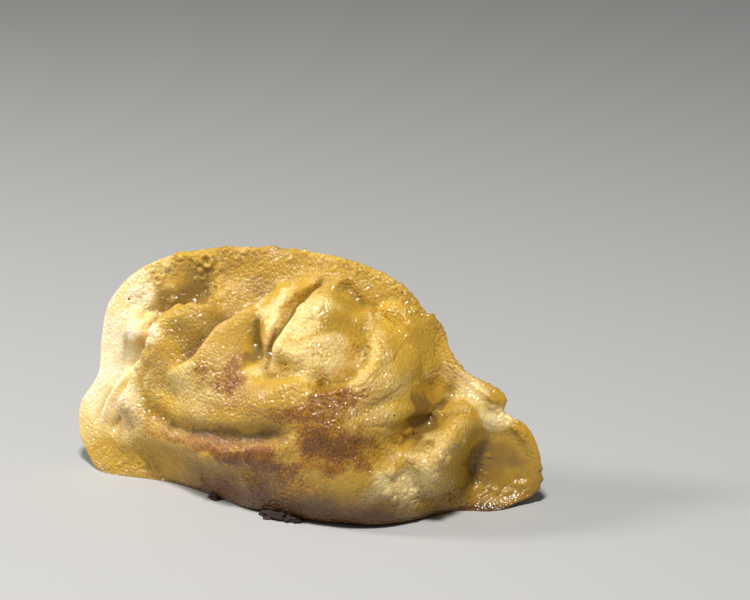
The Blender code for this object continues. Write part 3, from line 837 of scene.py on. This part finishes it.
def blister_sites(clusters):
    """(u, v, radius, burst) of every blister of some clusters."""
    for cluster in clusters:
        turn = math.radians(cluster.turn)
        for _ in range(cluster.count):
            angle = random_places.uniform(0, 2 * math.pi)
            out = math.sqrt(random_places.random())
            along = cluster.radii[0] * out * math.cos(angle)
            aside = cluster.radii[1] * out * math.sin(angle)
            at_u = cluster.centre[0] + along * math.cos(turn) - aside * math.sin(turn)
            at_v = cluster.centre[1] + along * math.sin(turn) + aside * math.cos(turn)
            radius = cluster.small + (cluster.large - cluster.small) * random_places.random() ** 2
            yield at_u, at_v, radius, random_places.random() < cluster.burst


front_sites = [*SINGLE_BLISTERS, *blister_sites(FRONT_CLUSTERS)]
back_sites = list(blister_sites(BACK_CLUSTERS))
print("blisters on the front:", len(front_sites), "on the back:", len(back_sites))

# %% [markdown]
# ## Raise the blisters
# A whole blister is a small dome, and a burst one is a ring with a dip in it. Points near a blister's
# middle are found with a search tree, which is far quicker than measuring to every point. Where two
# blisters meet, the higher one wins, so that they don't pile up.

# %% Shape of one blister
DOME_HEIGHT = 0.5
DOME_POWER = 0.8
RING_HEIGHT = 0.34
RING_AT = 0.68
RING_WIDTH = 0.24


def blister_height(share, burst):
    """A blister's height in radii at a share of the way from its middle to its edge."""
    if burst:
        return RING_HEIGHT * math.exp(-(((share - RING_AT) / RING_WIDTH) ** 2)) * (1 - share**6)
    return DOME_HEIGHT * (1 - share**2) ** DOME_POWER


print("heights in radii at the middle:", DOME_HEIGHT, "whole,", round(blister_height(0, True), 2), "burst")

# %% Raised blisters


def tree_of(rows):
    """A search tree over rows of three numbers."""
    tree = kdtree.KDTree(len(rows))
    for i, row in enumerate(rows):
        tree.insert(row, i)
    tree.balance()
    return tree


def blistered(points, normals, face, sites):
    """How far blisters raise each point of one face of the skin."""
    rise = np.zeros(len(points))
    where = np.flatnonzero(face)
    flat = tree_of(np.stack([u[where], v[where], np.zeros(len(where))], -1))
    solid = tree_of(points)
    for at_u, at_v, radius, burst in sites:
        top = where[flat.find((at_u, at_v, 0))[1]]
        for _, i, gap in solid.find_range(points[top], radius):
            if normals[i] @ normals[top] >= 0:
                rise[i] = max(rise[i], blister_height(gap / radius, burst) * radius)
    return rise


points, normals = places(skin), normals_of(skin)
bump = blistered(points, normals, front, front_sites) + blistered(points, normals, ~front, back_sites)
points += normals * (bump * smooth(points[:, 2], *BASE_FADE))[:, None]
points[:, 2] = np.maximum(points[:, 2], 0)
move(skin, points)
print("points on blisters:", int((bump > 0).sum()), "highest in mm:", round(bump.max(), 2))

# %% [markdown]
# ## Crests and creases for painted light and shade
# Crests are painted lighter and creases darker, as painted light and painted shade, so the colour
# deepens the folds' shading. The Geometry node's Pointiness tells them apart, but only in Cycles and
# only at the size of one cell. Comparing each point with the average of its wide surroundings works at
# the size of the folds.

# %% Crest and crease measure
BLUR_ROUNDS = 60


def blurred(values, ends, rounds):
    """Average values with those of the neighbouring points, over and over."""
    count = np.bincount(ends.ravel(), minlength=len(values))[:, None]
    one, other = ends.T
    for _ in range(rounds):
        total = [
            np.bincount(one, column[other], len(values)) + np.bincount(other, column[one], len(values))
            for column in values.T
        ]
        values = (values + np.stack(total, -1) / count) / 2
    return values


skin.verts.index_update()
ends = np.array([(edge.verts[0].index, edge.verts[1].index) for edge in skin.edges])
points, normals = places(skin), normals_of(skin)
crest = ((points - blurred(points, ends, BLUR_ROUNDS)) * normals).sum(1)
print("crest in mm:", np.round(np.percentile(crest, (2, 98)), 2))

# %% [markdown]
# ## Pale, browned and painted-shade patches
# The skin is cream where it stayed soft and red-brown where it fried longest. The cream patches are
# also painted light: they pale the lit sides, the lit crests and the bright left end. The hollows are
# painted deep gold as painted shade. Painting weights by hand would do, but would be lost when the mesh
# changes. Each patch is a soft ellipse on the wrapper with a strength, made ragged by noise, as frying
# leaves the browned ones.

# %% Patches of the front
# (middle, radii, turn in degrees, strength)
# Cream patches: partly pale soft dough and partly painted light on lit sides, lit crests and the bright left
# end.
CREAM_AND_LIGHT = (
    ((-39.5, 18.0), (9.0, 18.0), 0, 1.45), ((-36.0, 31.0), (8.0, 8.0), 30, 1.4),
    ((-26.6, 25.4), (1.5, 4.6), -14, 1.35), ((-33.0, 11.5), (6.0, 7.0), 20, 1.2),
    ((-28.6, 20.4), (10.0, 2.2), 59, 1.2), ((-17.0, 16.5), (14.0, 4.5), 0, 0.55),
    ((8.0, 17.6), (5.0, 6.4), 0, 0.5), ((-33.5, 24.4), (4.5, 4.0), 0, 1.35),
    ((-4.5, 27.0), (9.0, 4.4), 58, 0.9), ((1.6, 23.4), (6.4, 4.6), 24, 0.7),
    ((7.2, 25.0), (2.4, 7.0), 0, 0.4), ((14.6, 8.0), (8.0, 5.0), 54, 0.55),
    ((13.0, 4.6), (7.0, 5.0), 0, 1.0), ((26.4, 16.0), (4.4, 3.0), -35, 1.1),
    ((-8.3, 29.0), (2.2, 8.0), -15, 0.95), ((21.4, 20.0), (6.4, 2.6), -42, 0.9),
)
BROWNED = (
    ((-13.1, 19.4), (4.4, 5.0), 0, 1.0), ((1.0, 15.4), (12.0, 4.4), 8, 0.9),
    ((-10.0, 15.0), (13.0, 4.5), 5, 0.55), ((3.4, 9.8), (7.8, 5.6), 0, 1.25),
    ((-6.0, 4.0), (9.0, 5.0), 0, 0.8), ((6.6, 14.4), (5.0, 2.2), -8, 0.35),
    ((-16.0, 9.4), (16.0, 1.8), 2, 0.8), ((-9.5, 7.2), (13.0, 2.8), 0, 1.25),
    ((-22.0, 3.0), (16.0, 4.0), 5, 0.3), ((13.0, 34.5), (9.0, 2.6), -40, 0.5),
    ((-14.0, 39.5), (16.0, 1.8), 3, 0.45), ((-29.0, 10.5), (5.0, 3.5), 20, 0.5),
    ((33.5, 2.5), (2.0, 4.0), 10, 0.4),
)
# Painted shade: deep gold in the hollows, creases and valleys that the folds shade.
SHADED_HOLLOWS = (
    ((-26.0, 31.0), (8.5, 5.6), 34, 0.95), ((-20.5, 25.0), (5.0, 6.4), -20, 0.6),
    ((15.4, 14.6), (2.8, 8.2), -32, 1.3), ((24.6, 6.8), (4.6, 5.4), 10, 0.75),
    ((2.6, 29.0), (4.0, 4.4), 0, 0.25), ((19.4, 12.8), (7.0, 3.2), 52, 0.45),
    ((-9.8, 24.6), (1.6, 5.4), -14, 0.9), ((-15.0, 10.4), (16.0, 2.0), 2, 0.7),
    ((-14.0, 34.0), (4.0, 3.0), 0, 0.35),
)
print("patches:", len(CREAM_AND_LIGHT), "cream,", len(BROWNED), "browned,", len(SHADED_HOLLOWS), "oily")

# %% Finish masks
# (size in mm, reach in mm, seed along u, seed along v) of the noise that makes the patches ragged
RAGGED = ((5.0, 3.4, 31.7, 77.1), (1.6, 1.0, 13.9, 59.3))
# (size in mm, seed) of the slow mottling
MOTTLING = (6.0, 5.5)
FRONT_BROWN_MOTTLE = 0.15
# (average, mottling, most), and how much crests change the browning, which browns the back's creases darker
# as painted shade
BACK_CREAM = (0.35, 0.5, 0.8)
BACK_BROWN = (0.15, 0.8, 0.7)
BACK_CREASE_SHADE = -0.2

ragged_u, ragged_v = u, v
for size, reach, seed_u, seed_v in RAGGED:
    ragged_u = ragged_u + reach * grain(points, size, seed_u)
    ragged_v = ragged_v + reach * grain(points, size, seed_v)
slow = grain(points, *MOTTLING)


def patched(patches):
    """The strongest of some soft, ragged patches at each point of the front."""
    shares = [strength * smooth(mound(ragged_u, ragged_v, *place), 0, 1) for *place, strength in patches]
    return np.maximum(np.max(shares, axis=0), 0) * front


cream = np.where(front, patched(CREAM_AND_LIGHT), np.clip(BACK_CREAM[0] + BACK_CREAM[1] * slow, 0, BACK_CREAM[2]))
back_brown = np.clip(BACK_BROWN[0] + BACK_BROWN[1] * slow + BACK_CREASE_SHADE * crest, 0, BACK_BROWN[2])
browned = np.where(front, patched(BROWNED) + FRONT_BROWN_MOTTLE * slow, back_brown)
print("browned share:", round(float((browned > 0.4).mean()), 3))

# %% [markdown]
# ## The seared and shaded foot
# The foot lay in the pan's hot oil, so it is browner the nearer it is to the base, and it is darkened
# further there as painted shade of its own underside. Both are most in the middle and hardly at the
# pale left end, with a thin dark line at the very bottom. A gradient along Z alone would be too even,
# so it also follows the length and the slow mottling.

# %% Seared foot and painted shade
# (low, high) heights in mm, then places along u, between which the searing and the painted shade change
SEAR_AND_SHADE_HEIGHTS = (0.5, 10.5)
SEAR_AND_SHADE_RAGGED = 1.6
SEAR_AND_SHADE_LEAST = 0.1
MORE_SEAR_AND_SHADE = ((-29.0, -12.0), 1.15)
LESS_SEAR_AND_SHADE = ((7.0, 15.0), -0.75)
BURNT_LINE = (0.0, 1.3)
BURNT_RAGGED = 0.5
BURNT_STRENGTH = 0.9
BURNT_LEAST = 0.35
BURNT_FROM = (-33.0, -14.0)

seared = 1 - smooth(points[:, 2] + SEAR_AND_SHADE_RAGGED * slow, *SEAR_AND_SHADE_HEIGHTS)
seared *= SEAR_AND_SHADE_LEAST + sum(more * smooth(u, *where) for where, more in (MORE_SEAR_AND_SHADE, LESS_SEAR_AND_SHADE))
burnt_line = BURNT_STRENGTH * (1 - smooth(points[:, 2] + BURNT_RAGGED * slow, *BURNT_LINE))
seared += burnt_line * (BURNT_LEAST + (1 - BURNT_LEAST) * smooth(u, *BURNT_FROM))
masks = {
    "cream": cream, "browned": np.clip(browned, 0, 1.2), "seared": seared, "crisp": crisp,
    "crest": crest, "pool": patched(SHADED_HOLLOWS),
}
print("seared share:", round(float((seared > 0.4).mean()), 3))

# %% [markdown]
# ## Place the skin
# The masks are stored on the points, where the material can read them as attributes. The finished mesh
# is moved to where the solid stands and becomes an object whose origin is the scene's origin. It
# replaces the plain solid, which stays for the physics, and rides on its body.

# %% Skin object
for name, values in masks.items():
    remember(name, values)
bmesh.ops.triangulate(skin, faces=[face for face in skin.faces if len(face.verts) > 4])
bmesh.ops.scale(skin, verts=skin.verts[:], vec=(MM, MM, MM))
bmesh.ops.translate(skin, verts=skin.verts[:], vec=FIT_ORIGIN)


def finished(name, bm):
    """A smooth-shaded object made from a bmesh, which rides on the body."""
    mesh = bpy.data.meshes.new(name)
    bm.to_mesh(mesh)
    bm.free()
    mesh.shade_smooth()
    piece = put(name, mesh)
    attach(piece, "root")
    print(name, "triangles:", sum(len(face.vertices) - 2 for face in mesh.polygons))
    return piece


wrapper = finished("wrapper", skin)
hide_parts("gyoza")

# %% [markdown]
# ## Burnt crumbs
# Bits of burnt starch stick to the edge of the base where it met the pan. A particle system scatters
# many such bits, but there are only a few here. So each starts as a ball, is pulled into an uneven lump
# by noise, is flattened and is set into the dough's foot. All of them together are one piece.

# %% Places for the crumbs
# (place along the base, place into the dough, radii, turn in degrees)
CRUMBS = (
    (-0.8, 0.1, (2.6, 1.5, 0.8), 8), (1.5, 0.0, (1.5, 1.3, 0.7), -20),
    (-3.2, 0.2, (1.2, 1.0, 0.5), 30), (-13.0, 0.1, (1.2, 1.0, 0.5), 12),
)
FOOT_HEIGHT = 1.0
FOOT_REACH = 0.5
foot = np.array([vertex.co / MM for vertex in wrapper.data.vertices])


def foot_at(x):
    """The most forward point of the dough near its base at this place along its length, in mm."""
    near = (np.abs(foot[:, 0] - x) < FOOT_REACH) & (foot[:, 2] < FOOT_HEIGHT)
    return foot[near][foot[near, 1].argmin()]


print("foot at the largest crumb in mm:", np.round(foot_at(CRUMBS[0][0]), 1))

# %% Burnt crumbs
CRUMB_LUMPS = 0.6
CRUMB_UNEVEN = 0.6
CRUMB_LIFT = 0.35

crumbs = bmesh.new()
for along, into, radii, turn in CRUMBS:
    ball = bmesh.ops.create_icosphere(crumbs, subdivisions=4, radius=1)["verts"]
    for vertex in ball:
        vertex.co *= 1 + CRUMB_UNEVEN * noise.noise(vertex.co / CRUMB_LUMPS + Vector((along, 0, 0)))
    here = foot_at(along)
    bmesh.ops.scale(crumbs, verts=ball, vec=radii)
    bmesh.ops.rotate(crumbs, verts=ball, matrix=Matrix.Rotation(math.radians(turn), 3, "Z"))
    bmesh.ops.translate(crumbs, verts=ball, vec=(here[0], here[1] + into, CRUMB_LIFT))
for vertex in crumbs.verts:
    vertex.co.z = max(vertex.co.z, 0)
bmesh.ops.scale(crumbs, verts=crumbs.verts[:], vec=(MM, MM, MM))
burnt_crumbs = finished("burnt_crumbs", crumbs)

# %% [markdown]
# ## Helpers for shader nodes
# Materials are built from nodes. In the editor each is dragged in and wired by hand, and in a script
# every node takes several lines. These helpers make a node, set it and wire it in one call, so that the
# recipe of the finish stays readable.

# %% Node helpers


def node(tree, kind, **values):
    """A new node. Each value is for a property, an input's name or, as in _2, an input's number, and
    a value of (node, output) is a link."""
    made = tree.nodes.new("ShaderNode" + kind)
    properties = [name for name in values if hasattr(made, name)]
    for name in properties:
        setattr(made, name, values.pop(name))
    for name, value in values.items():
        socket = made.inputs[int(name[1:])] if name[1:].isdigit() else made.inputs[name.replace("_", " ")]
        if isinstance(value, tuple) and isinstance(value[0], bpy.types.Node):
            tree.links.new(value[0].outputs[value[1]], socket)
        else:
            socket.default_value = value
    return made


def maths(tree, operation, first, second, third=0.0):
    """The result of a Math node."""
    return node(tree, "Math", operation=operation, _0=first, _1=second, _2=third), 0


def ranged(tree, value, low=0.0, high=1.0, at_low=0.0, at_high=1.0):
    """A value mapped from the range low to high to another range."""
    return node(tree, "MapRange", _0=value, _1=low, _2=high, _3=at_low, _4=at_high), 0


def blend(tree, share, first, second):
    """A mix of two colours."""
    return node(tree, "Mix", data_type="RGBA", _0=share, _6=first, _7=second), 2


print("node helpers:", [helper.__name__ for helper in (node, maths, ranged, blend)])

# %% [markdown]
# ## Oily grain
# Seen close, the fried skin is a field of tiny beads wet with oil, and the high ones brown first. Its
# glints are far smaller than a cell of the mesh, so they come from bump. A Voronoi texture gives round
# beads, and noise gives dots, a slow mottling and a few dark specks. They sit in one node group, so
# that the same dots drive the bump and the browning.

# %% Grain group
DOTS_PER_METRE = 3000
BEADS_PER_METRE = 1900.0
DOT_SHARE = 0.2
GRAIN_TURN = (0.5, 0.6, 0.2)
MOTTLE_SCALE = 430.0
SPECK_SCALE = 210.0
SPECK_EDGE = (0.055, 0.035)


def oily_grain():
    """A group with the fine grain of fried dough, a slow mottling and a few dark specks."""
    group = bpy.data.node_groups.new("oily grain", "ShaderNodeTree")
    size = group.interface.new_socket("Dots per Metre", in_out="INPUT", socket_type="NodeSocketFloat")
    size.default_value = DOTS_PER_METRE
    for name in ("Height", "Dots", "Mottle", "Specks"):
        group.interface.new_socket(name, in_out="OUTPUT", socket_type="NodeSocketFloat")
    given = group.nodes.new("NodeGroupInput")
    result = group.nodes.new("NodeGroupOutput")
    place = node(group, "TexCoord"), "Object"
    turned = node(group, "Mapping", Vector=place, Rotation=GRAIN_TURN), "Vector"
    dots = node(group, "TexNoise", Vector=turned, Scale=(given, 0), Detail=1.0, Roughness=0.5), 0
    bead = node(group, "TexVoronoi", Vector=place, Scale=BEADS_PER_METRE, Randomness=1.0), "Distance"
    fall = maths(group, "MULTIPLY", bead, bead)
    height = maths(group, "MULTIPLY_ADD", fall, -1.0, maths(group, "MULTIPLY", dots, DOT_SHARE))
    mottle = node(group, "TexNoise", Vector=place, Scale=MOTTLE_SCALE, Detail=4.0, Roughness=0.6), 0
    cell = node(group, "TexVoronoi", Vector=place, Scale=SPECK_SCALE, Randomness=1.0), "Distance"
    values = {"Height": height, "Dots": dots, "Mottle": mottle, "Specks": ranged(group, cell, *SPECK_EDGE)}
    for name, (source, output) in values.items():
        group.links.new(source.outputs[output], result.inputs[name])
    return group


grain_group = oily_grain()
print("group:", grain_group.name, "nodes:", len(grain_group.nodes))

# %% [markdown]
# ## Fried dough
# The dough is golden, cream where it stayed soft, red-brown in patches and darker towards the foot, where
# searing and painted shade darken it. Lit sides and crests are painted paler as painted light, pale
# specks stand partly for painted glints, and hollows are painted deep gold as painted shade. An image
# texture would be tied to one view of it. Here one colour after another is laid over the golden dough,
# each where its mask and the grain say. Light goes into dough a little, so it gets subsurface
# scattering. The oil is a low roughness over the bumpy grain, which breaks its shine into dots.

# %% Colours of the dough
# The pale and white colours are partly soft dough and partly painted light; the deep gold is painted shade in
# hollows and creases; the foot's brown is partly searing and partly painted shade.
GOLDEN = (0.60, 0.37, 0.045, 1)
PALE_AND_LIT = (0.88, 0.69, 0.31, 1)
WHITE_DOUGH_AND_HIGHLIGHT = (0.96, 0.86, 0.65, 1)
SHADE_GOLD = (0.26, 0.15, 0.022, 1)
TOASTED = (0.34, 0.142, 0.010, 1)
DARK_BROWN = (0.11, 0.034, 0.009, 1)
FOOT_BROWN_AND_SHADE = (0.15, 0.062, 0.010, 1)
SPECK = (0.07, 0.022, 0.008, 1)
# (what shows it, where it starts, where it is full, the colour it turns to)
LAYERS = (
    ("paleness_and_light", 0.1, 1.0, PALE_AND_LIT), ("paleness_and_light", 1.05, 1.6, WHITE_DOUGH_AND_HIGHLIGHT), ("painted_shade", 0.1, 1.0, SHADE_GOLD),
    ("browning", 0.25, 0.95, TOASTED), ("browning", 0.85, 1.70, DARK_BROWN),
    ("searing_and_shade", 0.10, 1.0, FOOT_BROWN_AND_SHADE), ("specks", 0.0, 1.0, SPECK),
)
print("layers of colour over the golden dough:", len(LAYERS))

# %% Colour from masks and grain
# How much the mottling, the dots and the crests change what shows
PALE_MOTTLE = 0.9
# The dots paint pale specks on crisp dough, partly pale blisters and partly painted glints.
PALE_AND_GLINT_DOTS = 1.65
# Crests are painted paler as painted light.
CREST_LIGHT = 0.22
BROWN_MOTTLE = 0.7
BROWN_DOTS = 1.6
SEAR_AND_SHADE_MOTTLE = 0.7
# Creases are painted deep gold as painted shade.
CREASE_SHADE = -1.1


def dough_colour(tree, grainy, mask):
    """The dough's colour, from its masks and its grain, with painted light and painted shade in it."""
    mottle = maths(tree, "SUBTRACT", (grainy, "Mottle"), 0.5)
    dots = maths(tree, "SUBTRACT", (grainy, "Dots"), 0.5)
    paleness_and_light = maths(tree, "MULTIPLY_ADD", mottle, PALE_MOTTLE, mask["cream"])
    paleness_and_light = maths(tree, "MULTIPLY_ADD", maths(tree, "MULTIPLY", dots, mask["crisp"]), PALE_AND_GLINT_DOTS, paleness_and_light)
    browning = maths(tree, "MULTIPLY_ADD", mottle, BROWN_MOTTLE, mask["browned"])
    shows = {
        "paleness_and_light": maths(tree, "MULTIPLY_ADD", mask["crest"], CREST_LIGHT, paleness_and_light),
        "painted_shade": maths(tree, "MULTIPLY_ADD", mask["crest"], CREASE_SHADE, mask["pool"]),
        "browning": maths(tree, "MULTIPLY_ADD", dots, BROWN_DOTS, browning),
        "searing_and_shade": maths(tree, "MULTIPLY_ADD", mottle, SEAR_AND_SHADE_MOTTLE, mask["seared"]),
        "specks": (grainy, "Specks"),
    }
    colour = GOLDEN
    for name, low, high, next_colour in LAYERS:
        colour = blend(tree, ranged(tree, shows[name], low, high), colour, next_colour)
    return colour


print("strongest effect on the browning:", max(BROWN_MOTTLE, BROWN_DOTS))

# %% Fried dough material
BUMP_DISTANCE = 0.00024
CALM_BUMP = 0.25
CALM_ROUGHNESS = 0.34
CRISP_ROUGHNESS = 0.08
OILY_SPECULAR = 0.6
# How deep red, green and blue light go, and what that is times, in m
SCATTER_BY_COLOUR = (1.0, 0.5, 0.16)
SCATTER_DEPTH = 0.0008


def fried_dough():
    """The skin's material."""
    material = bpy.data.materials.new("fried dough")
    shader = shader_of(material)
    tree = material.node_tree
    grainy = tree.nodes.new("ShaderNodeGroup")
    grainy.node_tree = grain_group
    mask = {name: (node(tree, "Attribute", attribute_name=name), "Fac") for name in masks}
    height = maths(tree, "MULTIPLY", (grainy, "Height"), ranged(tree, mask["crisp"], at_low=CALM_BUMP))
    wired = {
        "Base Color": dough_colour(tree, grainy, mask),
        "Normal": (node(tree, "Bump", Strength=1.0, Distance=BUMP_DISTANCE, Height=height), "Normal"),
        "Roughness": ranged(tree, mask["crisp"], at_low=CALM_ROUGHNESS, at_high=CRISP_ROUGHNESS),
    }
    for name, (source, output) in wired.items():
        tree.links.new(source.outputs[output], shader.inputs[name])
    shader.inputs["Specular IOR Level"].default_value = OILY_SPECULAR
    shader.inputs["Subsurface Weight"].default_value = 1.0
    shader.inputs["Subsurface Radius"].default_value = SCATTER_BY_COLOUR
    shader.inputs["Subsurface Scale"].default_value = SCATTER_DEPTH
    return material


wrapper.data.materials.append(fried_dough())
print("material:", wrapper.data.materials[0].name)

# %% [markdown]
# ## Burnt crumb
# Burnt starch is nearly black and dull, with a trace of brown where it is thinner. One flat black would
# look like a hole in the picture, so noise mixes two dark colours.

# %% Burnt crumb material
BURNT_ROUGHNESS = 0.75
BURNT_MOTTLE = 900.0
BURNT_BLACK = (0.006, 0.004, 0.002, 1)
BURNT_BROWN = (0.035, 0.013, 0.005, 1)

burnt = bpy.data.materials.new("burnt crumb")
shader_of(burnt).inputs["Roughness"].default_value = BURNT_ROUGHNESS
tree = burnt.node_tree
patchy = node(tree, "TexNoise", Vector=(node(tree, "TexCoord"), "Object"), Scale=BURNT_MOTTLE), 0
dark, output = blend(tree, patchy, BURNT_BLACK, BURNT_BROWN)
tree.links.new(dark.outputs[output], shader_of(burnt).inputs["Base Color"])
burnt_crumbs.data.materials.append(burnt)
print("material:", burnt_crumbs.data.materials[0].name)

# %% [markdown]
# ## Sizes
# Both boxes are measured, and the last line prints how far the skin reaches beyond the solid's box.
# The skin must stay in the solid's box.

# %% Sizes
new_low, new_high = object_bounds()
for corner in (cad_low, cad_high, new_low, new_high):
    json.dumps(list(corner))
beyond = [*(cad_low - new_low), *(new_high - cad_high)]
print("skin beyond the solid in mm:", [round(x / MM, 2) for x in beyond])
